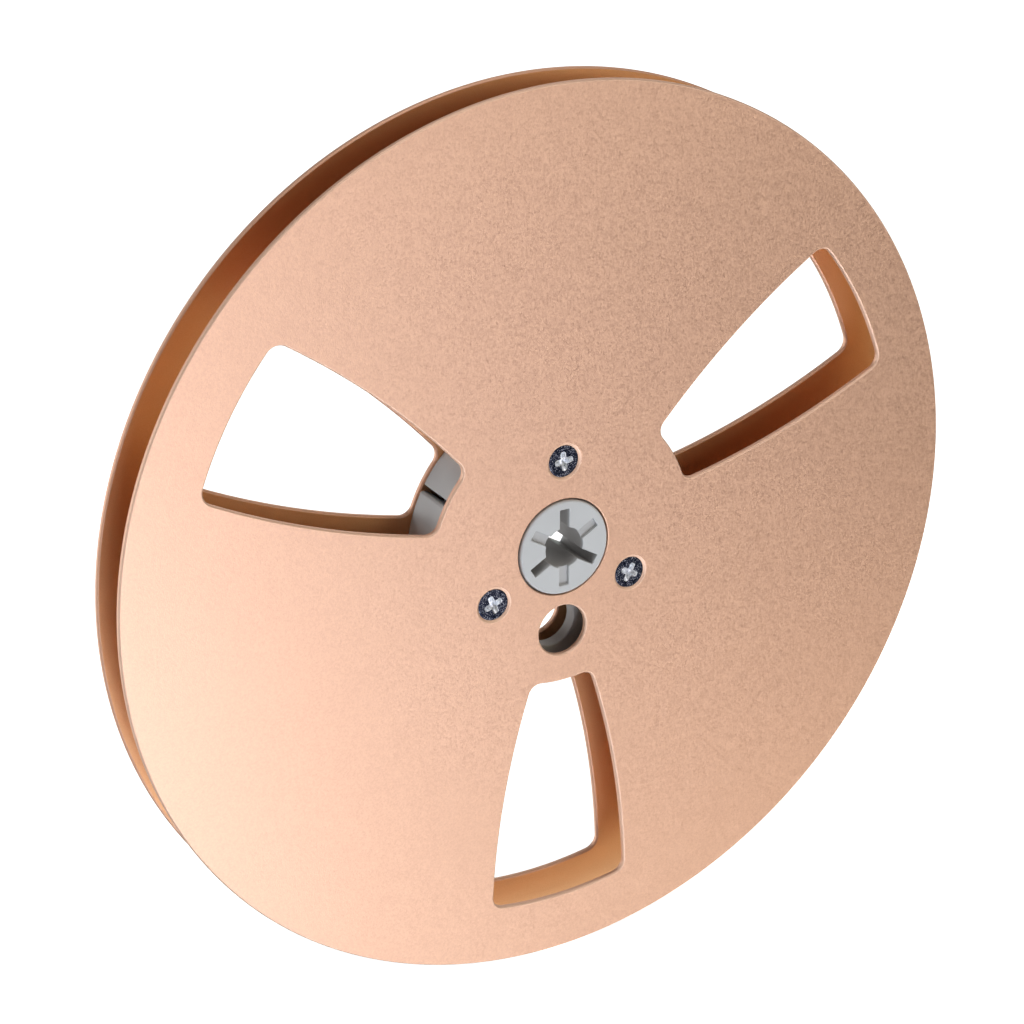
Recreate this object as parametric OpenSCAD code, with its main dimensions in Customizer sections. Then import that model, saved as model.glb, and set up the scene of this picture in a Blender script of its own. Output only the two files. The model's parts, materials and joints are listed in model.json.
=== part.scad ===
// Empty 7 inch open-reel tape spool: two aluminium flanges on a moulded hub.
// The reel stands upright. Its axis lies along Y, the front face looks towards -Y,
// +Z is 12 o'clock and the origin is the centre of the spindle bore.
// Clock angles are measured in the face, anticlockwise from +X (3 o'clock).

/* [Flanges] */
// Outside diameter of both flanges
flange_d = 178; // [170:0.5:190]
// Sheet thickness of a flange
flange_t = 1.3; // [1:0.1:2]
// Clear width between the flanges, where the tape is wound
flange_gap = 9.1; // [7:0.1:12]
// Chamfer on both edges of a flange's rim
rim_chamfer = 0.3; // [0.1:0.05:0.4]

/* [Windows] */
// Radius of a window's inner edge about the reel's axis
window_inner_r = 28.3; // [28:0.1:32]
// Radius of a window's outer edge about the reel's axis
window_outer_r = 76.8; // [70:0.5:80]
// Width of a window at its inner corners, before rounding
window_inner_w = 13.1; // [10:0.5:18]
// Width of a window at its outer corners, before rounding
window_outer_w = 30.5; // [26:0.1:40]
// How far each side of a window bulges past a straight line
window_bulge = 1.77; // [1:0.01:3]
// Corner radius at the window's inner edge
window_inner_corner_r = 2.5; // [1:0.1:3]
// Corner radius at the window's outer edge
window_outer_corner_r = 2.7; // [1:0.1:4]

/* [Hub] */
// Diameter of the drum that the tape is wound on
drum_d = 56; // [50:0.5:56]
// Wall thickness of the drum
drum_wall = 2.5; // [2:0.1:4]
// Thickness of the web that joins drum and sleeve at mid width
web_t = 2.8; // [2:0.1:4]
// Diameter of the centre boss that shows in the flanges
boss_d = 19; // [18:0.1:21]
// How far the centre boss stands proud of each flange
boss_proud = 0.35; // [0.2:0.05:0.8]
// Radius on the boss's outer edge
boss_edge_r = 0.45; // [0.2:0.05:0.6]
// Radial gap between the boss and the flange around it
boss_clearance = 0.25; // [0.1:0.05:0.4]
// Diameter of the shoulder that the flanges are clamped against
shoulder_d = 24; // [22:0.5:24]
// Thickness of the ribs that tie the screw posts to the drum
rib_t = 1.6; // [1:0.1:2.5]

/* [Tape slot] */
// Width of the slot in the drum that takes the tape's end
tape_slot_w = 1.1; // [0.8:0.1:2]
// Clock angle of the tape slot
tape_slot_angle = 151; // [140:1:160]
// Radius on the slot's lower lip
tape_slot_lip_r = 0.8; // [0.4:0.1:1.2]

/* [Spindle bore] */
// Diameter of the bore for a 5/16 inch spindle
bore_d = 8.2; // [8:0.05:8.4]
// Width of the keyways and locking slots
keyway_w = 2.05; // [1.8:0.05:2.1]
// Distance from the axis to the end of a keyway
keyway_reach = 7.85; // [7:0.05:8.2]
// Depth of the blind locking slots in each end of the boss
lock_slot_depth = 0.7; // [0.3:0.1:1]

/* [Holes and screws] */
// Radius of the circle that the screws and the index hole lie on
pitch_r = 17.4; // [17.2:0.1:18]
// Diameter of the index hole through flanges and web
index_hole_d = 10.3; // [9:0.1:10.5]
// Diameter of a screw's countersunk head
screw_head_d = 6.4; // [6:0.1:6.8]
// How deep a screw's head sits below the flange's face
screw_head_sunk = 0.3; // [0.1:0.05:0.4]
// Outside diameter of the screw's thread
screw_thread_d = 3.5; // [3:0.1:3.5]
// Length of a screw under its head's top face
screw_length = 5; // [4.5:0.1:5.2]
// Outside diameter of the posts that the screws go into
post_d = 8; // [7:0.5:9]

/* [Hidden] */
$fn = 128;

reel_w = flange_gap + 2 * flange_t;
boss_len = reel_w + 2 * boss_proud;
fit_gap = 0.04;
screw_slack = 0.3;
overlap = 0.2;
cut = 1;
edge_steps = 16;
corner_steps = 6;

// Screws at 12, 4 and 8 o'clock; windows, and locking slots, half-way between.
screw_angles = [90, -30, 210];
window_angles = [150, 30, 270];

// Axial place of a screw's head top and of the cone's end under it.
head_z = reel_w / 2 - screw_head_sunk;
head_cone = (screw_head_d - screw_thread_d) / 2;
head_rim = 0.15;
screw_recess_w = 1.05;
screw_recess_span = 3.7;
screw_recess_depth = 1.3;

// The side of a window is an arc through two corners that bulges outwards.
half_in = window_inner_w / 2;
half_out = window_outer_w / 2;
corner_in = [sqrt(pow(window_inner_r, 2) - pow(half_in, 2)), half_in];
corner_out = [sqrt(pow(window_outer_r, 2) - pow(half_out, 2)), half_out];
side_chord = norm(corner_out - corner_in);
side_r = (pow(side_chord / 2, 2) + pow(window_bulge, 2)) / (2 * window_bulge);
side_dir = (corner_out - corner_in) / side_chord;
side_normal = [-side_dir[1], side_dir[0]];
side_c = (corner_in + corner_out) / 2 + side_normal * (window_bulge - side_r);

// Point at distance ra from the origin and rb from c, on the upper side of the line to c.
function meet(ra, rb, c) =
    let (d = norm(c),
         a = (ra * ra - rb * rb + d * d) / (2 * d),
         h = sqrt(ra * ra - a * a),
         u = c / d,
         p = a * u + h * [-u[1], u[0]],
         q = a * u - h * [-u[1], u[0]])
    p[1] > q[1] ? p : q;

round_in_c = meet(window_inner_r + window_inner_corner_r, side_r - window_inner_corner_r, side_c);
round_out_c = meet(window_outer_r - window_outer_corner_r, side_r - window_outer_corner_r, side_c);

// Turns a shape built along Z, front end up, so that its front end looks to -Y.
module upright() {
    rotate([90, 0, 0]) children();
}

module at_clock(angle, radius) {
    rotate([0, 0, angle]) translate([radius, 0, 0]) children();
}

// Points of an arc about c, without its first one, which the arc before it ends on.
function arc(c, radius, from, to, steps) =
    [for (i = [1 : steps]) c + radius * [cos(from + (to - from) * i / steps), sin(from + (to - from) * i / steps)]];

function heading(p) = atan2(p[1], p[0]);

// Upper half of a window's outline, from the middle of its outer edge to the middle of its
// inner edge: outer edge, corner, bulging side, corner, inner edge. Each arc meets the next
// on the line through both centres, so every joint is smooth.
window_half = concat(
    arc([0, 0], window_outer_r, 0, heading(round_out_c), edge_steps),
    arc(round_out_c, window_outer_corner_r,
        heading(round_out_c), heading(round_out_c - side_c), corner_steps),
    arc(side_c, side_r, heading(round_out_c - side_c), heading(round_in_c - side_c), edge_steps),
    arc(round_in_c, window_inner_corner_r,
        heading(round_in_c - side_c), heading(round_in_c) + 180, corner_steps),
    arc([0, 0], window_inner_r, heading(round_in_c), 0, corner_steps));

// Window outline on the +X side, mirrored about the X axis.
module window_outline() {
    last = len(window_half) - 1;
    polygon(concat([[window_outer_r, 0]],
                   window_half,
                   [for (i = [last - 1 : -1 : 0]) [window_half[i][0], -window_half[i][1]]]));
}

// Space that a sunk screw head takes, grown by the gap around it.
module head_space(gap) {
    top_r = screw_head_d / 2 + gap;
    thread_r = screw_thread_d / 2 + gap;
    above = screw_head_sunk + cut;
    translate([0, 0, head_z - head_rim - (top_r - thread_r)])
        cylinder(r1 = thread_r, r2 = top_r + head_rim + above, h = top_r - thread_r + head_rim + above);
}

// A flange with its outer face up, at Z = 0.
module flange_plate() {
    outer_r = flange_d / 2;
    difference() {
        rotate_extrude($fn = 360)
            polygon([[boss_d / 2 + boss_clearance, -flange_t],
                     [outer_r - rim_chamfer, -flange_t],
                     [outer_r, -flange_t + rim_chamfer],
                     [outer_r, -rim_chamfer],
                     [outer_r - rim_chamfer, 0],
                     [boss_d / 2 + boss_clearance, 0]]);
        for (angle = window_angles) {
            translate([0, 0, -flange_t - cut])
                linear_extrude(height = flange_t + 2 * cut)
                    rotate(angle) window_outline();
        }
        for (angle = screw_angles) {
            at_clock(angle, pitch_r) translate([0, 0, -reel_w / 2]) head_space(fit_gap);
            at_clock(angle, pitch_r)
                translate([0, 0, -flange_t - cut]) cylinder(d = screw_thread_d + screw_slack, h = flange_t + 2 * cut);
        }
        at_clock(-90, pitch_r)
            translate([0, 0, -flange_t - cut]) cylinder(d = index_hole_d, h = flange_t + 2 * cut);
    }
}

module front_flange() {
    color("burlywood") upright() translate([0, 0, reel_w / 2]) flange_plate();
}

module back_flange() {
    color("tan") mirror([0, 1, 0]) upright() translate([0, 0, reel_w / 2]) flange_plate();
}

// The centre boss: shoulder between the flanges, rounded ends through them.
module boss() {
    seat = flange_gap / 2;
    top = boss_len / 2;
    r = boss_d / 2;
    rotate_extrude() {
        translate([0, -seat]) square([shoulder_d / 2, 2 * seat]);
        translate([0, -top + boss_edge_r]) square([r, 2 * (top - boss_edge_r)]);
        translate([0, -top]) square([r - boss_edge_r, 2 * top]);
        for (end = [-1, 1]) {
            translate([r - boss_edge_r, end * (top - boss_edge_r)]) circle(r = boss_edge_r);
        }
    }
}

// Bore with three keyways right through and three blind locking slots at each end.
module spindle_cut() {
    cylinder(d = bore_d, h = boss_len + 2 * cut, center = true);
    for (angle = screw_angles) {
        rotate([0, 0, angle])
            translate([0, -keyway_w / 2, -boss_len / 2 - cut])
                cube([keyway_reach, keyway_w, boss_len + 2 * cut]);
    }
    for (angle = window_angles, end = [-1, 1]) {
        rotate([0, 0, angle])
            translate([0, -keyway_w / 2, end * (boss_len / 2 + cut) - lock_slot_depth - cut])
                cube([keyway_reach, keyway_w, 2 * (lock_slot_depth + cut)]);
    }
}

// Slot across the drum for the tape's end, with its lower lip rounded.
module tape_slot_cut() {
    drum_r = drum_d / 2;
    low = -tape_slot_w / 2;
    lip_x = sqrt(pow(drum_r - tape_slot_lip_r, 2) - pow(low - tape_slot_lip_r, 2));
    rotate([0, 0, tape_slot_angle])
        mirror([0, 1, 0])
        linear_extrude(height = flange_gap + 2 * cut, center = true) {
            translate([drum_r - drum_wall - cut, low])
                square([drum_wall + 2 * cut, tape_slot_w]);
            difference() {
                translate([lip_x, low - tape_slot_lip_r])
                    square([drum_r + cut - lip_x, tape_slot_lip_r]);
                translate([lip_x, low - tape_slot_lip_r]) circle(r = tape_slot_lip_r);
            }
        }
}

module hub() {
    drum_r = drum_d / 2;
    web_r = drum_r - drum_wall + overlap;
    rib_from = shoulder_d / 2 - overlap;
    color("lightslategray") upright() difference() {
        union() {
            difference() {
                cylinder(r = drum_r, h = flange_gap, center = true, $fn = 360);
                cylinder(r = drum_r - drum_wall, h = flange_gap + 2 * cut, center = true, $fn = 360);
                tape_slot_cut();
            }
            cylinder(r = web_r, h = web_t, center = true, $fn = 360);
            boss();
            for (angle = screw_angles) {
                at_clock(angle, pitch_r) cylinder(d = post_d, h = flange_gap, center = true);
                rotate([0, 0, angle])
                    translate([rib_from, -rib_t / 2, -flange_gap / 2])
                        cube([web_r - rib_from, rib_t, flange_gap]);
            }
        }
        spindle_cut();
        at_clock(-90, pitch_r) cylinder(d = index_hole_d, h = web_t + 2 * cut, center = true);
        for (angle = screw_angles) {
            at_clock(angle, pitch_r) {
                cylinder(d = screw_thread_d + 2 * fit_gap, h = flange_gap + 2 * cut, center = true);
                head_space(fit_gap);
                mirror([0, 0, 1]) head_space(fit_gap);
            }
        }
    }
}

// Countersunk screw, head towards the front. Its cross recess is turned from the radius.
module screw(angle, recess_turn) {
    tip = 0.5;
    top_r = screw_head_d / 2;
    thread_r = screw_thread_d / 2;
    at_clock(angle, pitch_r) translate([0, 0, head_z]) difference() {
        union() {
            translate([0, 0, -head_rim]) cylinder(r = top_r, h = head_rim);
            translate([0, 0, -head_rim - head_cone]) cylinder(r1 = thread_r, r2 = top_r, h = head_cone);
            translate([0, 0, -screw_length + tip]) cylinder(r = thread_r, h = screw_length - tip - head_rim);
            translate([0, 0, -screw_length]) cylinder(r1 = thread_r - tip / 2, r2 = thread_r, h = tip);
        }
        for (turn = [0, 90]) {
            rotate([0, 0, recess_turn + turn])
                translate([-screw_recess_span / 2, -screw_recess_w / 2, -screw_recess_depth])
                    cube([screw_recess_span, screw_recess_w, screw_recess_depth + cut]);
        }
    }
}

module front_screw(angle, recess_turn) {
    color("midnightblue") upright() screw(angle, recess_turn);
}

module back_screw(angle, recess_turn) {
    color("midnightblue") mirror([0, 1, 0]) upright() screw(angle, recess_turn);
}

module front_screw_12() { front_screw(screw_angles[0], 7); }
module front_screw_4() { front_screw(screw_angles[1], 3); }
module front_screw_8() { front_screw(screw_angles[2], 82); }
module back_screw_12() { back_screw(screw_angles[0], 35); }
module back_screw_4() { back_screw(screw_angles[1], 5); }
module back_screw_8() { back_screw(screw_angles[2], 60); }

front_flange();
back_flange();
hub();
front_screw_12();
front_screw_4();
front_screw_8();
back_screw_12();
back_screw_4();
back_screw_8();
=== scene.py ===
"""Empty 7 inch open-reel tape spool: satin rose-gold flanges screwed to a grey moulded hub."""

import json
import math

import bmesh
import bpy
from mathutils import Matrix, Vector


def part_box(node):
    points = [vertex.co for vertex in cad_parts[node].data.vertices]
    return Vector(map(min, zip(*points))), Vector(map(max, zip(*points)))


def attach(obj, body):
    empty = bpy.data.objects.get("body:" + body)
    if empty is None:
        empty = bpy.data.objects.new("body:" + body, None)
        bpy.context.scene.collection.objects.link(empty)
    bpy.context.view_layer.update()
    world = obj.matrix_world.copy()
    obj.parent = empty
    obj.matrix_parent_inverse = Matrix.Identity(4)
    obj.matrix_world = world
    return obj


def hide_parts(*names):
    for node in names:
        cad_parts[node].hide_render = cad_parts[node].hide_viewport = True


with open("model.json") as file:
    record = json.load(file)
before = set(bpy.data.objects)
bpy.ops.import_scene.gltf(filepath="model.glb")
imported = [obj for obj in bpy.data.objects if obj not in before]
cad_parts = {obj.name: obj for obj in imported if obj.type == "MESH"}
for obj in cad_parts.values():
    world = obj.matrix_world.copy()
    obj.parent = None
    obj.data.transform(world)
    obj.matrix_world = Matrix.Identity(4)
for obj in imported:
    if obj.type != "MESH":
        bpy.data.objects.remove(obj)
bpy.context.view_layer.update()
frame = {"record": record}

MM = 0.001


def box_mm(node):
    """Lowest and highest corner of a CAD node, in millimetres to two decimals."""
    return [[round(c / MM, 2) for c in corner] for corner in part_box(node)]


# Sizes in millimetres. The frame gives the main ones, and the rest follow the CAD's dimensions.
# Angles are in degrees, anticlockwise from +X as seen from the front.
flange_low, flange_high = box_mm("back_flange")
screw_low, screw_high = box_mm("back_screw_12")
mounts = {m["name"]: m["dims"] for m in frame["record"]["mounts"]}
FLANGE_R, FLANGE_OUT = flange_high[:2]
FLANGE_IN = flange_low[1]
WINDOW_IN_R, WINDOW_OUT_R = 28.3, 76.8
WINDOW_IN_W, WINDOW_OUT_W, WINDOW_BULGE = 13.1, 30.5, 1.77
WINDOW_IN_CORNER, WINDOW_OUT_CORNER = 2.5, 2.7
DRUM_R, BOSS_END = box_mm("hub")[1][:2]
DRUM_WALL = 2.5
WEB_HALF, WEB_FILLET = 1.4, 0.6
SHOULDER_R = 12.0
BOSS_R, BOSS_ROUND = 9.5, 0.45
BOSS_HOLE_R = 9.85  # 0.1 over the CAD's, which shows as a thin dark ring round the boss
# Edge breaks: width of the chamfer, and how far its two arrises are rounded over.
SHEET_BREAK, BOSS_HOLE_BREAK = (0.27, 0.07), (0.14, 0.04)
BORE_R, BORE_ROUND = mounts["spindle_bore"]["r_mm"], 0.16
KEY_HALF_W, KEY_REACH, KEY_CORNER, KEY_FILLET, BLIND_DEPTH = 1.025, 7.85, 0.22, 0.2, 0.7
INDEX_R, INDEX_BREAK = mounts["index_hole"]["r_mm"], 0.14
HEAD_R, SCREW_LENGTH = screw_high[0], screw_high[1] - screw_low[1]
HEAD_SUNK = FLANGE_OUT - screw_high[1]
PITCH_R = screw_high[2] - HEAD_R
HEAD_DEPTH, THREAD_R = 1.86, 1.75
CORE_R = THREAD_R - 0.32
SINK_R = HEAD_R + 0.38  # the countersink at the sheet's outer face
POST_R, RIB_HALF = 4.0, 0.8
SLOT_W, SLOT_ANGLE, SLOT_LIP = 1.1, 151.0, 0.8
# Clock name: angle on the screw circle, turn of the front recess, turn of the back recess.
SCREWS = {"12": (90.0, 7.0, 35.0), "4": (-30.0, 3.0, 5.0), "8": (210.0, 82.0, 60.0)}
SCREW_ANGLES = [angle for angle, _, _ in SCREWS.values()]
WINDOW_ANGLES = [150.0, 30.0, 270.0]


# ---------------------------------------------------------------- outlines
# An outline is a closed list of (point, normal) in the face plane (x right, z up). The normal
# points out of the material, so point - normal * inset lies inside it.

def polar(radius, degrees):
    a = math.radians(degrees)
    return Vector((radius * math.cos(a), radius * math.sin(a)))


def arc(centre, radius, start, end, steps, side):
    """Points of an arc without its first. side is +1 where material fills the arc's circle."""
    out = []
    for i in range(1, steps + 1):
        d = polar(1.0, start + (end - start) * i / steps)
        out.append((centre + d * radius, d * side))
    return out


def circle(centre, radius, steps, side):
    return arc(centre, radius, 0.0, 360.0, steps, side)


def turned(outline, degrees):
    m = Matrix.Rotation(math.radians(degrees), 2)
    return [(m @ p, m @ n) for p, n in outline]


def heading(p):
    return math.degrees(math.atan2(p.y, p.x))


def meet(ra, rb, c):
    """Point at distance ra from the origin and rb from c, on the upper side."""
    d = c.length
    a = (ra * ra - rb * rb + d * d) / (2 * d)
    h = math.sqrt(ra * ra - a * a)
    u = c / d
    v = Vector((-u.y, u.x))
    return max((a * u + h * v, a * u - h * v), key=lambda p: p.y)


def window_outline():
    """Window on the +X side: outer edge, corner, bulging side, corner, inner edge, and back."""
    half_in, half_out = WINDOW_IN_W / 2, WINDOW_OUT_W / 2
    a = Vector((math.sqrt(WINDOW_IN_R ** 2 - half_in ** 2), half_in))
    b = Vector((math.sqrt(WINDOW_OUT_R ** 2 - half_out ** 2), half_out))
    chord = (b - a).length
    side_r = ((chord / 2) ** 2 + WINDOW_BULGE ** 2) / (2 * WINDOW_BULGE)
    along = (b - a) / chord
    side_c = (a + b) / 2 + Vector((-along.y, along.x)) * (WINDOW_BULGE - side_r)
    in_c = meet(WINDOW_IN_R + WINDOW_IN_CORNER, side_r - WINDOW_IN_CORNER, side_c)
    out_c = meet(WINDOW_OUT_R - WINDOW_OUT_CORNER, side_r - WINDOW_OUT_CORNER, side_c)
    zero = Vector((0.0, 0.0))
    to_out, to_in = heading(out_c - side_c), heading(in_c - side_c)
    half = arc(zero, WINDOW_OUT_R, 0.0, heading(out_c), 24, -1)
    half += arc(out_c, WINDOW_OUT_CORNER, heading(out_c), to_out, 14, -1)
    half += arc(side_c, side_r, to_out, to_in, 40, -1)
    half += arc(in_c, WINDOW_IN_CORNER, to_in, heading(in_c) + 180.0, 14, -1)
    half += arc(zero, WINDOW_IN_R, heading(in_c), 0.0, 12, 1)
    lower = [(Vector((p.x, -p.y)), Vector((n.x, -n.y))) for p, n in reversed(half[:-1])]
    return [(Vector((WINDOW_OUT_R, 0.0)), Vector((-1.0, 0.0)))] + half + lower


def arm_outline(corner, fillet):
    """One slot arm along +X, from the bore round the slot and back to the bore."""
    v = KEY_HALF_W + fillet
    u = math.sqrt((BORE_R + fillet) ** 2 - v * v)
    low, high = Vector((u, -v)), Vector((u, v))
    low_in = Vector((KEY_REACH - corner, -KEY_HALF_W + corner))
    high_in = Vector((KEY_REACH - corner, KEY_HALF_W - corner))
    start = heading(low) + 180.0
    pts = [(low + polar(fillet, start), polar(1.0, start))]
    pts += arc(low, fillet, start, 90.0, 6, 1)
    pts += arc(low_in, corner, -96.0, 0.0, 6, -1)
    pts += arc(high_in, corner, -12.0, 90.0, 7, -1)[1:]
    pts += [(high + polar(fillet, -90.0), polar(1.0, -90.0))]
    pts += arc(high, fillet, -90.0, heading(high) - 180.0, 6, 1)
    return pts


# ---------------------------------------------------------------- mesh building

def edge_profile(chamfer, blend):
    """Inset and depth of a chamfered edge whose two arrises are rounded over, face side first."""
    c, t, s = chamfer, blend, blend / math.sqrt(2)
    p, q = Vector((c, 0.0)), Vector((0.0, c))
    a, b = p + Vector((t, 0.0)), p + Vector((-s, s))
    e, f = q + Vector((s, -s)), q + Vector((0.0, t))
    return [a, (a + 2 * p + b) / 4, b, e, (e + 2 * q + f) / 4, f]


def round_profile(radius, steps):
    """Inset and depth of a rounded edge, face side first."""
    out = []
    for i in range(steps + 1):
        a = math.radians(90.0 * i / steps)
        out.append(Vector((radius * (1 - math.sin(a)), radius * (1 - math.cos(a)))))
    return out


def ring(bm, outline, inset, y):
    """A ring of vertices at depth y, millimetres in, metres out."""
    return [bm.verts.new((MM * (p.x - n.x * inset), MM * y, MM * (p.y - n.y * inset)))
            for p, n in outline]


def bridge(bm, a, b):
    for i in range(len(a)):
        j = (i + 1) % len(a)
        bm.faces.new((a[i], a[j], b[j], b[i]))


def wall(bm, outline, profile):
    """Walls down an outline through (inset, y) steps. Gives back the first and last rings."""
    rings = [ring(bm, outline, inset, y) for inset, y in profile]
    for a, b in zip(rings, rings[1:]):
        bridge(bm, a, b)
    return rings[0], rings[-1]


def loop_edges(bm, rings):
    return [bm.edges.get((r[i], r[(i + 1) % len(r)])) or bm.edges.new((r[i], r[(i + 1) % len(r)]))
            for r in rings for i in range(len(r))]


def cap(bm, rings):
    """Flat face with holes between closed rings that lie in one plane."""
    bmesh.ops.triangle_fill(bm, use_beauty=True, use_dissolve=False, edges=loop_edges(bm, rings),
                            normal=(0.0, -1.0, 0.0))


def finish_mesh(bm, name, material, mirror=False, sharp=38.0):
    """Closes up a mesh, marks its hard edges and makes an object of it."""
    bmesh.ops.remove_doubles(bm, verts=bm.verts, dist=1e-8)
    if mirror:
        bmesh.ops.transform(bm, matrix=Matrix.Scale(-1.0, 4, (0.0, 1.0, 0.0)), verts=bm.verts)
    bmesh.ops.recalc_face_normals(bm, faces=bm.faces)
    for f in bm.faces:
        f.smooth = True
    for e in bm.edges:
        e.smooth = not (e.is_manifold and e.calc_face_angle(0.0) > math.radians(sharp))
    mesh = bpy.data.meshes.new(name)
    bm.to_mesh(mesh)
    bm.free()
    mesh.materials.append(material)
    obj = bpy.data.objects.new(name, mesh)
    bpy.context.scene.collection.objects.link(obj)
    return obj


def flat_faced(obj):
    """Faces square to the axis stay flat right up to the small edge breaks round them."""
    mesh = obj.data
    normals = [Vector(c.vector) for c in mesh.corner_normals]
    flat = {}
    for f in mesh.polygons:
        if abs(f.normal.y) > 0.9999:
            for v in f.vertices:
                flat[v] = Vector((0.0, math.copysign(1.0, f.normal.y), 0.0))
    for f in mesh.polygons:
        for corner, v in zip(f.loop_indices, f.vertices):
            if v in flat and normals[corner].dot(flat[v]) > 0.75:
                normals[corner] = flat[v]
    mesh.normals_split_custom_set(normals)
    return obj


# ---------------------------------------------------------------- flanges

def flange_plate(name, materials, back):
    """Sheet with a chamfered rim, three windows, a centre hole, an index hole and countersinks."""
    zero = Vector((0.0, 0.0))
    front, inner = -FLANGE_OUT, -FLANGE_IN

    def through(profile):
        """Same edge break on both faces."""
        return ([(q.x, front + q.y) for q in profile]
                + [(q.x, inner - q.y) for q in reversed(profile)])

    machined = through(edge_profile(*SHEET_BREAK))
    light = through(edge_profile(*BOSS_HOLE_BREAK))
    anodised_wall, cut_wall = 0, 1
    loops = [(circle(zero, FLANGE_R, 720, 1), machined, cut_wall),
             (circle(zero, BOSS_HOLE_R, 192, -1), light, anodised_wall),
             (circle(polar(PITCH_R, -90.0), INDEX_R, 144, -1), machined, cut_wall)]
    for a in WINDOW_ANGLES:
        loops.append((turned(window_outline(), a), machined, cut_wall))
    # A 45 degree cone with a small edge break at its mouth.
    rise = inner - front
    base = SINK_R - rise
    cone = [(rise + 0.12, front), (rise + 0.08, front + 0.012), (rise - 0.10, front + 0.10),
            (0.04, inner - 0.04), (0.0, inner)]
    for a in SCREW_ANGLES:
        loops.append((circle(polar(PITCH_R, a), base, 96, -1), cone, cut_wall))
    bm = bmesh.new()
    ends = []
    for outline, profile, material_index in loops:
        made = len(bm.faces)
        ends.append(wall(bm, outline, profile))
        bm.faces.ensure_lookup_table()
        for f in bm.faces[made:]:
            f.material_index = material_index
    cap(bm, [e[0] for e in ends])
    cap(bm, [e[1] for e in ends])
    obj = finish_mesh(bm, name, materials[0], mirror=back)
    obj.data.materials.append(materials[1])
    return flat_faced(obj)


# ---------------------------------------------------------------- hub

def bore_rings():
    """The bore's outline with all six slots, and the same outline with the blind slots closed."""
    six, three, blind = [], [], []
    arm = arm_outline(KEY_CORNER, KEY_FILLET)
    first, last = heading(arm[0][0]), heading(arm[-1][0])
    zero = Vector((0.0, 0.0))
    for k in range(6):
        a = 30.0 + 60.0 * k
        start = len(six)
        pts = turned(arm, a)
        six += pts
        if a % 120.0 == 90.0:
            three += pts
        else:
            n = len(pts)
            flat = [(polar(BORE_R, a + first), -polar(1.0, a + first))]
            flat += arc(zero, BORE_R, a + first, a + last, n - 1, -1)
            three += flat
            blind.append((start, start + n - 1))
        gap = arc(zero, BORE_R, a + last, a + 60.0 + first, 10, -1)[:-1]
        six += gap
        three += gap
    return six, three, blind


def hub_half(bm, side):
    """One end of the hub, from its face to the mid plane: boss, shoulder, web and drum."""
    def y(depth):
        return side * depth

    def seat_corner(radius, way):
        """Small corner where a flange's seat meets a wall. way is +1 where the wall faces out."""
        return [(radius - 0.2 * way, FLANGE_IN), (radius - 0.06 * way, FLANGE_IN - 0.06),
                (radius, FLANGE_IN - 0.2)]

    edge = round_profile(BORE_ROUND, 3)
    six, three, blind = bore_rings()
    top, floor = wall(bm, six, [(q.x, y(BOSS_END - q.y)) for q in edge]
                      + [(0.0, y(BOSS_END - BLIND_DEPTH))])
    low = list(floor)
    for a, b in blind:
        for i in range(a + 1, b):
            p = three[i][0]
            low[i] = bm.verts.new((MM * p.x, MM * y(BOSS_END - BLIND_DEPTH), MM * p.y))
        bm.faces.new(floor[a:b + 1] + low[a + 1:b][::-1])
    middle = [bm.verts.new((v.co.x, 0.0, v.co.z)) for v in low]
    bridge(bm, low, middle)

    boss = [(BOSS_R - q.x, BOSS_END - q.y) for q in round_profile(BOSS_ROUND, 6)]
    seat = [(BOSS_R, FLANGE_IN + 0.02), (BOSS_R + 0.02, FLANGE_IN)] + seat_corner(SHOULDER_R, 1)
    inner = DRUM_R - DRUM_WALL
    fillet = round_profile(WEB_FILLET, 3)
    web = [(SHOULDER_R + q.x, WEB_HALF + q.y) for q in reversed(fillet)]
    web += [(inner - q.x, WEB_HALF + q.y) for q in fillet]
    drum = seat_corner(inner, -1)[::-1] + seat_corner(DRUM_R, 1) + [(DRUM_R, 0.0)]
    rings = []
    for radius, depth in boss + seat + web + drum:
        rings.append(ring(bm, circle(Vector((0.0, 0.0)), radius, 288, 1), 0.0, y(depth)))
    for a, b in zip(rings, rings[1:]):
        bridge(bm, a, b)
    cap(bm, [top, rings[0]])


def solid(outline, profile, name):
    """A closed helper solid: walls through a profile, with flat ends."""
    bm = bmesh.new()
    for end in wall(bm, outline, profile):
        bm.faces.new(end)
    bmesh.ops.recalc_face_normals(bm, faces=bm.faces)
    mesh = bpy.data.meshes.new(name)
    bm.to_mesh(mesh)
    bm.free()
    obj = bpy.data.objects.new(name, mesh)
    bpy.context.scene.collection.objects.link(obj)
    return obj


def combine(obj, tool, operation):
    """Adds or cuts a helper solid, and removes the helper."""
    m = obj.modifiers.new("combine", "BOOLEAN")
    m.operation = operation
    m.solver = "EXACT"
    m.object = tool
    bpy.context.view_layer.update()
    evaluated = obj.evaluated_get(bpy.context.evaluated_depsgraph_get())
    done = bpy.data.meshes.new_from_object(evaluated)
    obj.modifiers.remove(m)
    old, obj.data = obj.data, done
    bpy.data.meshes.remove(old)
    bpy.data.objects.remove(tool)


def rectangle(x0, x1, half):
    """Outline for a helper solid, which needs no normals."""
    corners = [(x0, -half), (x1, -half), (x1, half), (x0, half)]
    return [(Vector(c), Vector((0.0, 0.0))) for c in corners]


def straight(half):
    """Profile of a straight wall from -half to +half."""
    return [(0.0, -half), (0.0, half)]


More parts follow.
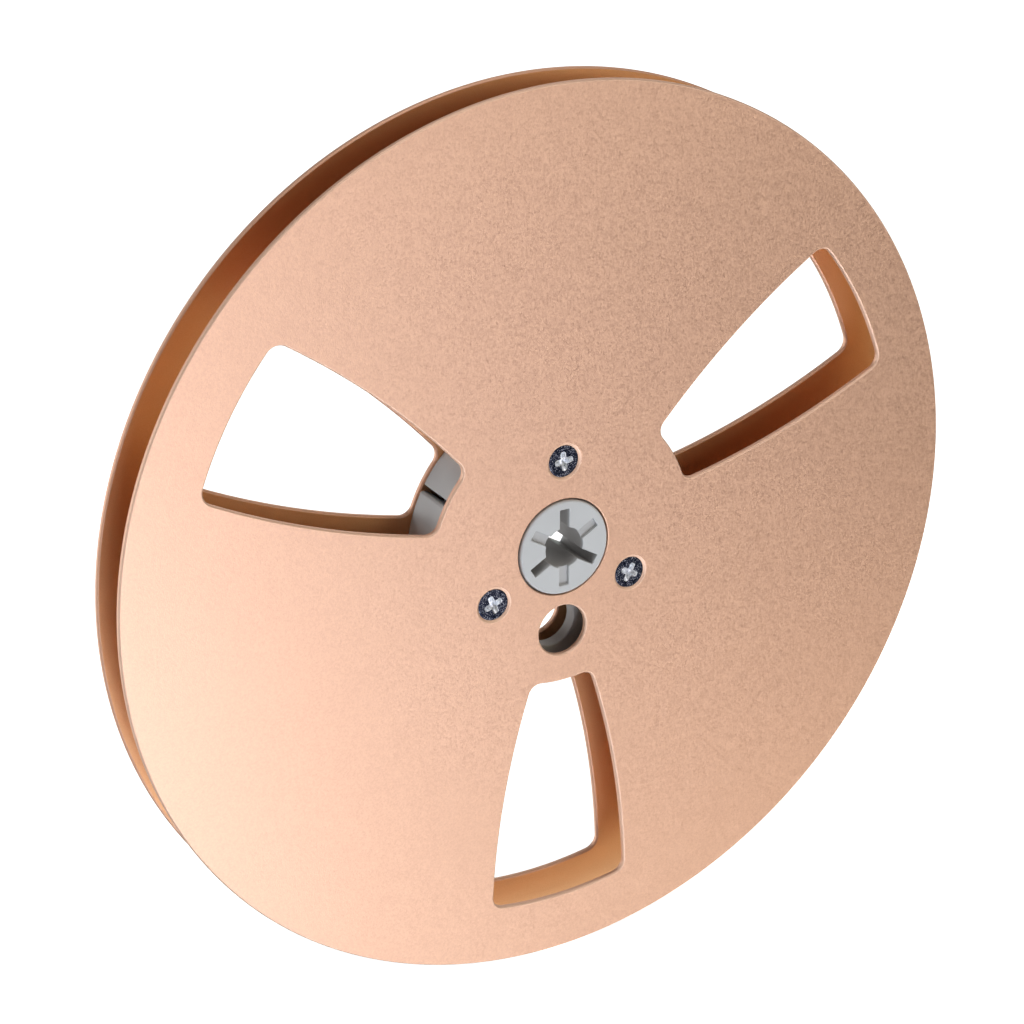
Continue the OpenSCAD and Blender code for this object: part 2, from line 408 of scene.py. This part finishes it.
def hub_moulding(material):
    """The whole hub: both ends, the ribs and screw posts between them, then the holes."""
    bm = bmesh.new()
    hub_half(bm, -1.0)
    hub_half(bm, 1.0)
    obj = finish_mesh(bm, "hub_moulding", material)

    rib = rectangle(SHOULDER_R - 0.5, DRUM_R - DRUM_WALL + 0.5, RIB_HALF)
    for a in SCREW_ANGLES:
        combine(obj, solid(turned(rib, a), straight(FLANGE_IN - 0.15), "rib"), "UNION")
        post = circle(polar(PITCH_R, a), POST_R, 96, 1)
        combine(obj, solid(post, straight(FLANGE_IN - 0.03), "post"), "UNION")
    # The countersinks' cones run on into the posts, down to the threaded holes.
    sink = SINK_R - (FLANGE_OUT - FLANGE_IN)
    cone = [(sink + 0.2, FLANGE_IN + 0.2), (THREAD_R + 0.05, FLANGE_IN - (sink - THREAD_R - 0.05))]
    for a in SCREW_ANGLES:
        whole = [(THREAD_R - r, -d) for r, d in cone] + [(THREAD_R - r, d) for r, d in cone[::-1]]
        hole = solid(circle(polar(PITCH_R, a), THREAD_R, 72, 1), whole, "screw_hole")
        combine(obj, hole, "DIFFERENCE")
    clear = 0.7
    index = [(-INDEX_BREAK - clear, -WEB_HALF - clear), (0.0, -WEB_HALF + INDEX_BREAK),
             (0.0, WEB_HALF - INDEX_BREAK), (-INDEX_BREAK - clear, WEB_HALF + clear)]
    hole = solid(circle(polar(PITCH_R, -90.0), INDEX_R, 144, 1), index, "index_hole")
    combine(obj, hole, "DIFFERENCE")
    combine(obj, tape_slot_tool(), "DIFFERENCE")
    bm = bmesh.new()
    bm.from_mesh(obj.data)
    bpy.data.objects.remove(obj)
    return flat_faced(finish_mesh(bm, "hub_moulding", material, sharp=34.0))


def tape_slot_tool():
    """Space of the tape slot: straight-sided, with rounded mouths, the lower one wider."""
    half, lip, small = SLOT_W / 2, SLOT_LIP, 0.3
    low_c = Vector((math.sqrt((DRUM_R - lip) ** 2 - (half + lip) ** 2), half + lip))
    high_c = Vector((math.sqrt((DRUM_R - small) ** 2 - (half + small) ** 2), -half - small))
    pts = [Vector((DRUM_R - DRUM_WALL - 1.0, -half)), Vector((DRUM_R - DRUM_WALL - 1.0, half))]
    low, high = heading(low_c), heading(high_c)
    pts += [low_c + polar(lip, -90.0 + (low + 90.0) * i / 8) for i in range(9)]
    pts += [polar(DRUM_R + 1.0, low), polar(DRUM_R + 1.0, high)]
    pts += [high_c + polar(small, high + (90.0 - high) * i / 6) for i in range(7)]
    outline = turned([(p, Vector((0.0, 0.0))) for p in pts], SLOT_ANGLE)
    return solid(outline, straight(FLANGE_IN + 1.0), "tape_slot")


# ---------------------------------------------------------------- screws

def cross_outline(span, width, root):
    """Cross recess with rounded arm ends and small fillets between the arms."""
    w, r = width / 2, width / 2 * 0.85  # half an arm's width, and the corners' radius
    out = []
    for k in range(4):
        a = 90.0 * k
        arm = arc(Vector((span / 2 - r, -w + r)), r, -90.0 - 18.0, 0.0, 6, -1)
        arm += arc(Vector((span / 2 - r, w - r)), r, 0.0, 90.0, 6, -1)
        arm += arc(Vector((w + root, w + root)), root, -90.0, -180.0, 5, 1)
        out += turned(arm, a)
    return out


def thread_radius(depth, angle):
    """Radius of the threaded shank: a 0.6 mm pitch ridge that fades out at both ends."""
    pitch, crest, taper = 0.6, 0.31, 0.15
    t = (depth / pitch + angle / (2 * math.pi)) % 1.0
    ridge = max(0.0, 1.0 - abs(t - 0.5) / 0.42)
    start = min(1.0, max(0.0, (depth - HEAD_DEPTH - 0.04) / 0.35))
    end = min(1.0, max(0.0, (SCREW_LENGTH - 0.1 - depth) / 0.6))
    return CORE_R + crest * min(ridge * 1.15, 1.0) * start * end - taper * (1 - end)


def screw(name, clock, turn, back, materials):
    """Countersunk machine screw, head towards the front, built about its own axis."""
    bm = bmesh.new()
    steps = 72
    zero = Vector((0.0, 0.0))
    head = [(HEAD_R - 0.26, 0.0), (HEAD_R - 0.16, 0.015), (HEAD_R - 0.07, 0.06),
            (HEAD_R - 0.015, 0.13), (HEAD_R, 0.20), (HEAD_R - 0.04, 0.25),
            (CORE_R + 0.06, HEAD_DEPTH - 0.12), (CORE_R, HEAD_DEPTH)]
    rings = [ring(bm, circle(zero, r, steps, 1), 0.0, d) for r, d in head]
    layers = 72
    for i in range(1, layers + 1):
        depth = HEAD_DEPTH + (SCREW_LENGTH - HEAD_DEPTH) * i / layers
        level = []
        for j in range(steps):
            a = 2 * math.pi * (j + 1) / steps
            r = thread_radius(depth, a)
            level.append(bm.verts.new((MM * r * math.cos(a), MM * depth, MM * r * math.sin(a))))
        rings.append(level)
    for a, b in zip(rings, rings[1:]):
        bridge(bm, a, b)
    bm.faces.new(rings[-1])
    # Recess: rounded mouth, walls leaning in, and a small flat floor. Each level is its depth,
    # the cross's span and the width of its arms.
    levels = [(0.0, 3.90, 1.20), (0.03, 3.82, 1.13), (0.10, 3.75, 1.08),
              (0.90, 2.70, 0.74), (1.35, 1.30, 0.50)]
    mouth = [ring(bm, cross_outline(span, width, 0.16), 0.0, d) for d, span, width in levels]
    for a, b in zip(mouth, mouth[1:]):
        bridge(bm, a, b)
    bm.faces.new(mouth[-1])
    outside = set(v for r in rings for v in r)
    for f in bm.faces:
        f.material_index = 0 if f.verts[0] in outside else 1
    cap(bm, [rings[0], mouth[0]])
    spin = Matrix.Rotation(math.radians(-(clock + turn)), 4, "Y")
    p = polar(PITCH_R, clock)
    place = Matrix.Translation(Vector((p.x * MM, -(FLANGE_OUT - HEAD_SUNK) * MM, p.y * MM)))
    bmesh.ops.transform(bm, matrix=place @ spin, verts=bm.verts)
    obj = finish_mesh(bm, name, materials[0], mirror=back, sharp=32.0)
    obj.data.materials.append(materials[1])
    return flat_faced(obj)


# ---------------------------------------------------------------- materials

class Shader:
    """Small helper that adds nodes to one material and links them."""

    def __init__(self, name):
        self.material = bpy.data.materials.new(name)
        self.material.use_nodes = True
        self.tree = self.material.node_tree
        self.bsdf = self.tree.nodes["Principled BSDF"]
        self.coords = self.tree.nodes.new("ShaderNodeTexCoord").outputs["Object"]

    def node(self, kind, values=None, **settings):
        n = self.tree.nodes.new(kind)
        for k, v in settings.items():
            setattr(n, k, v)
        for k, v in (values or {}).items():
            if isinstance(v, bpy.types.NodeSocket):
                self.tree.links.new(v, n.inputs[k])
            else:
                n.inputs[k].default_value = v
        return n

    def noise(self, scale, detail=2.0, rough=0.5, distort=0.0):
        n = self.node("ShaderNodeTexNoise", {
            "Vector": self.coords, "Scale": scale, "Detail": detail,
            "Roughness": rough, "Distortion": distort})
        return n.outputs["Fac"]

    def ramp(self, fac, *stops):
        n = self.node("ShaderNodeValToRGB", {"Fac": fac})
        for i, (pos, colour) in enumerate(stops):
            e = n.color_ramp.elements[i] if i < 2 else n.color_ramp.elements.new(pos)
            e.position = pos
            e.color = (*colour, 1.0)
        return n.outputs["Color"]

    def span(self, fac, low, high, start=0.3, end=0.7):
        n = self.node("ShaderNodeMapRange", {"Value": fac, "From Min": start, "From Max": end,
                                             "To Min": low, "To Max": high})
        return n.outputs["Result"]

    def blend(self, fac, a, b):
        n = self.node("ShaderNodeMix", {}, data_type="RGBA")
        for index, v in ((0, fac), (6, a), (7, b)):
            if isinstance(v, bpy.types.NodeSocket):
                self.tree.links.new(v, n.inputs[index])
            else:
                n.inputs[index].default_value = v if index == 0 else (*v, 1.0)
        return n.outputs[2]

    def bump(self, height, distance, strength, base=None):
        values = {"Height": height, "Distance": distance, "Strength": strength}
        if base is not None:
            values["Normal"] = base
        return self.node("ShaderNodeBump", values).outputs["Normal"]

    def times(self, a, b):
        return self.node("ShaderNodeMath", {0: a, 1: b}, operation="MULTIPLY").outputs["Value"]

    def depth(self):
        """Distance from the reel's mid plane, in metres."""
        y = self.node("ShaderNodeSeparateXYZ", {"Vector": self.coords}).outputs["Y"]
        return self.node("ShaderNodeMath", {0: y}, operation="ABSOLUTE").outputs["Value"]

    def radius(self):
        """Distance from the reel's axis, in metres."""
        flat = self.node("ShaderNodeVectorMath", {0: self.coords, 1: (1.0, 0.0, 1.0)},
                         operation="MULTIPLY").outputs["Vector"]
        return self.node("ShaderNodeVectorMath", {0: flat}, operation="LENGTH").outputs["Value"]

    def set(self, **values):
        for k, v in values.items():
            s = self.bsdf.inputs[k.replace("_", " ")]
            if isinstance(v, bpy.types.NodeSocket):
                self.tree.links.new(v, s)
            else:
                s.default_value = v


def anodised():
    s = Shader("rose_gold_anodised")
    grain = s.noise(4400.0, 2.0, 0.7)
    pits = s.noise(2500.0, 3.0, 0.7)
    cloud = s.noise(60.0, 2.0, 0.5)
    outer = s.ramp(pits, (0.30, (0.81, 0.492, 0.353)), (0.70, (0.92, 0.606, 0.434)))
    outer = s.blend(s.span(cloud, 0.0, 0.10), outer, (0.886, 0.575, 0.416))
    # The inner ramp is the painted-shade colour for the faces between the flanges.
    inner = s.ramp(grain, (0.30, (0.85, 0.478, 0.243)), (0.70, (0.915, 0.536, 0.285)))
    # Painted shade: the faces between the flanges get a deeper, darker, more saturated tint,
    # standing in for the shade in the gap.
    tint = s.blend(s.span(s.depth(), 0.0, 1.0, 0.0046, 0.0052), inner, outer)
    s.set(Base_Color=tint, Metallic=1.0, Roughness=s.span(pits, 0.37, 0.53),
          Normal=s.bump(pits, 0.00005, 0.30, s.bump(grain, 0.00003, 0.55)))
    return s.material


def cut_edge():
    """Edges turned and milled after blasting: the same dye, but plainer and lighter, with painted
    shade on the edges between the flanges.
    """
    s = Shader("rose_gold_cut_edge")
    marks = s.noise(2600.0, 2.0, 0.5)
    tint = s.ramp(marks, (0.3, (0.905, 0.64, 0.485)), (0.7, (0.935, 0.68, 0.535)))
    # Painted shade: the edges between the flanges turn darker and deeper in tint, standing in for
    # the shade in the gap.
    tint = s.blend(s.span(s.depth(), 1.0, 0.0, 0.0049, 0.0054), tint, (0.87, 0.55, 0.39))
    s.set(Base_Color=tint, Metallic=1.0, Roughness=s.span(marks, 0.62, 0.70),
          Normal=s.bump(marks, 0.00001, 0.1))
    return s.material


def moulded():
    s = Shader("grey_moulded_plastic")
    fine = s.noise(5200.0, 2.0, 0.6)
    flow = s.noise(60.0, 3.0, 0.5, 0.4)
    tint = s.ramp(flow, (0.3, (0.51, 0.523, 0.529)), (0.7, (0.558, 0.573, 0.58)))
    # Painted shade: the bore, slots and pockets are painted darker than the faces and the drum,
    # standing in for the shade inside the hub.
    hollow_shade = s.times(s.span(s.depth(), 1.0, 0.0, 0.0050, 0.0060),
                     s.span(s.radius(), 1.0, 0.0, 0.0258, 0.0264))
    tint = s.blend(hollow_shade, tint, (0.37, 0.355, 0.345))
    s.set(Base_Color=tint, Roughness=s.span(fine, 0.42, 0.56), IOR=1.5,
          Normal=s.bump(fine, 0.00003, 0.35))
    return s.material


def plated():
    s = Shader("blue_black_zinc")
    cells = s.node("ShaderNodeTexVoronoi", {"Vector": s.coords, "Scale": 4600.0})
    cloud = s.noise(1300.0, 2.0, 0.6)
    spark = s.span(cells.outputs["Distance"], 1.0, 0.0, 0.10, 0.36)
    spark = s.times(spark, s.span(cloud, 0.0, 1.0, 0.38, 0.52))
    tint = s.blend(s.span(cloud, 0.0, 0.5), (0.012, 0.017, 0.034), (0.055, 0.055, 0.085))
    tint = s.blend(spark, tint, (0.80, 0.82, 0.92))
    s.set(Base_Color=tint, Metallic=1.0, Roughness=s.span(cloud, 0.26, 0.40),
          Normal=s.bump(cells.outputs["Distance"], 0.00006, 0.6))
    return s.material


def recess_steel():
    s = Shader("bright_recess_steel")
    fine = s.noise(3600.0, 2.0, 0.6)
    tint = s.ramp(fine, (0.38, (0.56, 0.59, 0.64)), (0.60, (0.98, 0.98, 0.99)))
    s.set(Base_Color=tint, Metallic=1.0, Roughness=s.span(fine, 0.24, 0.44),
          Normal=s.bump(fine, 0.00008, 1.0))
    return s.material


ROSE = anodised()
CUT = cut_edge()
GREY = moulded()
ZINC = plated()
STEEL = recess_steel()

pieces = []
for side in ("front", "back"):
    plate = flange_plate(side + "_flange_plate", (ROSE, CUT), back=side == "back")
    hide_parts(side + "_flange")
    pieces.append((plate, "flange"))
    for clock, (angle, front_turn, back_turn) in SCREWS.items():
        turn = front_turn if side == "front" else back_turn
        s = screw("%s_machine_screw_%s" % (side, clock), angle, turn, side == "back", (ZINC, STEEL))
        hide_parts("%s_screw_%s" % (side, clock))
        pieces.append((s, "screw"))
moulding = hub_moulding(GREY)
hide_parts("hub")
pieces.append((moulding, "hub"))
for piece, slot in pieces:
    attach(piece, "root")

# ---------------------------------------------------------------- stage, light and camera

def cove():
    """White studio cove: a flat floor that sweeps up into a round wall and closes overhead."""
    profile = [(1.2, 0.0), (1.8, 0.0)]
    profile += [(1.8 + 0.9 * math.sin(math.radians(t)), 0.9 - 0.9 * math.cos(math.radians(t)))
                for t in range(10, 91, 10)]
    profile += [(2.7, 2.0), (2.2, 2.9), (1.2, 3.4)]
    bm = bmesh.new()
    steps = 96
    rings = [[bm.verts.new((*polar(r, 360.0 * i / steps), h)) for i in range(steps)]
             for r, h in profile]
    for a, b in zip(rings, rings[1:]):
        bridge(bm, a, b)
    bm.faces.new(rings[0])
    bm.faces.new(rings[-1])
    obj = finish_mesh(bm, "studio_cove", paper())
    obj.location = (0.0, 0.0, -MM * (FLANGE_R + 0.2))  # just clear of the rim
    # The cove is a clean white ground for the eye; the lamps alone light the reel.
    obj.visible_diffuse = False
    obj.visible_glossy = False
    obj.visible_shadow = False
    return obj


def paper():
    s = Shader("white_paper")
    s.set(Base_Color=(0.8, 0.8, 0.8, 1.0), Roughness=0.9, Emission_Color=(1.0, 1.0, 1.0, 1.0),
          Emission_Strength=0.93)
    return s.material


floor = cove()


def softbox(name, azimuth, elevation, distance, size, watts, tint=(1.0, 1.0, 1.0)):
    """Square lamp facing the reel. Azimuth 0 is straight in front, and grows towards +X."""
    a, e = math.radians(azimuth), math.radians(elevation)
    place = Vector((math.sin(a) * math.cos(e), -math.cos(a) * math.cos(e), math.sin(e))) * distance
    data = bpy.data.lights.new(name, "AREA")
    data.shape = "RECTANGLE"
    data.size = data.size_y = size
    data.energy = watts
    data.color = tint
    lamp = bpy.data.objects.new(name, data)
    bpy.context.scene.collection.objects.link(lamp)
    lamp.location = place
    lamp.rotation_euler = (-place).to_track_quat("-Z", "Y").to_euler()
    lamp.visible_camera = False


softbox("near_low", 0, -30, 0.6, 0.3, 0.35, (0.93, 1.0, 1.12))
softbox("front", 0, -12, 2.5, 1.6, 12.5, (1.03, 1.0, 1.12))
softbox("front_left_low", -15, -35, 2.5, 1.2, 10.4, (0.98, 1.0, 1.07))
softbox("front_low", -10, -50, 2.5, 1.6, 20.6, (0.91, 1.0, 1.10))
softbox("front_high", -22, 50, 2.5, 1.2, 3.3)
softbox("right_low", 60, -45, 2.5, 1.2, 9.0, (1.12, 1.0, 0.79))
softbox("right_high", 30, 15, 2.5, 1.2, 13.4, (1.05, 1.0, 0.82))
softbox("right_side", 90, 20, 2.5, 1.6, 4.9)
softbox("left_side", -60, -15, 2.5, 1.2, 7.2)
softbox("left", -80, 5, 2.5, 1.2, 4.7)
softbox("left_back", -120, 10, 2.5, 1.6, 18.4)
softbox("overhead", 0, 80, 2.5, 1.2, 18.4, (1.05, 1.0, 0.97))
softbox("back_left_low", -150, -24, 2.5, 2.0, 16.7)
softbox("back_left", -150, 6, 2.5, 2.0, 3.1)
softbox("back_right_low", 150, -10, 2.5, 2.0, 14.9, (0.91, 1.0, 0.94))
softbox("back_right_high", 150, 24, 2.5, 2.0, 9.7)

world = bpy.data.worlds.new("studio")
world.use_nodes = True
world.node_tree.nodes["Background"].inputs["Color"].default_value = (1.0, 1.0, 1.0, 1.0)
world.node_tree.nodes["Background"].inputs["Strength"].default_value = 0.01
bpy.context.scene.world = world
bpy.context.scene.view_settings.view_transform = "Standard"

# Where the photo's camera stands, in metres, and which way it is turned.
eye = Vector((-0.2156, -0.3645, 0.1878))
camera_data = bpy.data.cameras.new("camera")
camera_data.lens = 85.27
camera_data.sensor_width = 36.0
camera_data.clip_start = 0.01
camera = bpy.data.objects.new("camera", camera_data)
bpy.context.scene.collection.objects.link(camera)
right = Vector((0.8694, -0.4942, 0.0023)).normalized()
back = -Vector((0.4545, 0.7977, -0.3963)).normalized()
right = (right - back * right.dot(back)).normalized()
up = back.cross(right)
camera.matrix_world = Matrix.Translation(eye) @ Matrix((right, up, back)).transposed().to_4x4()
bpy.context.scene.camera = camera
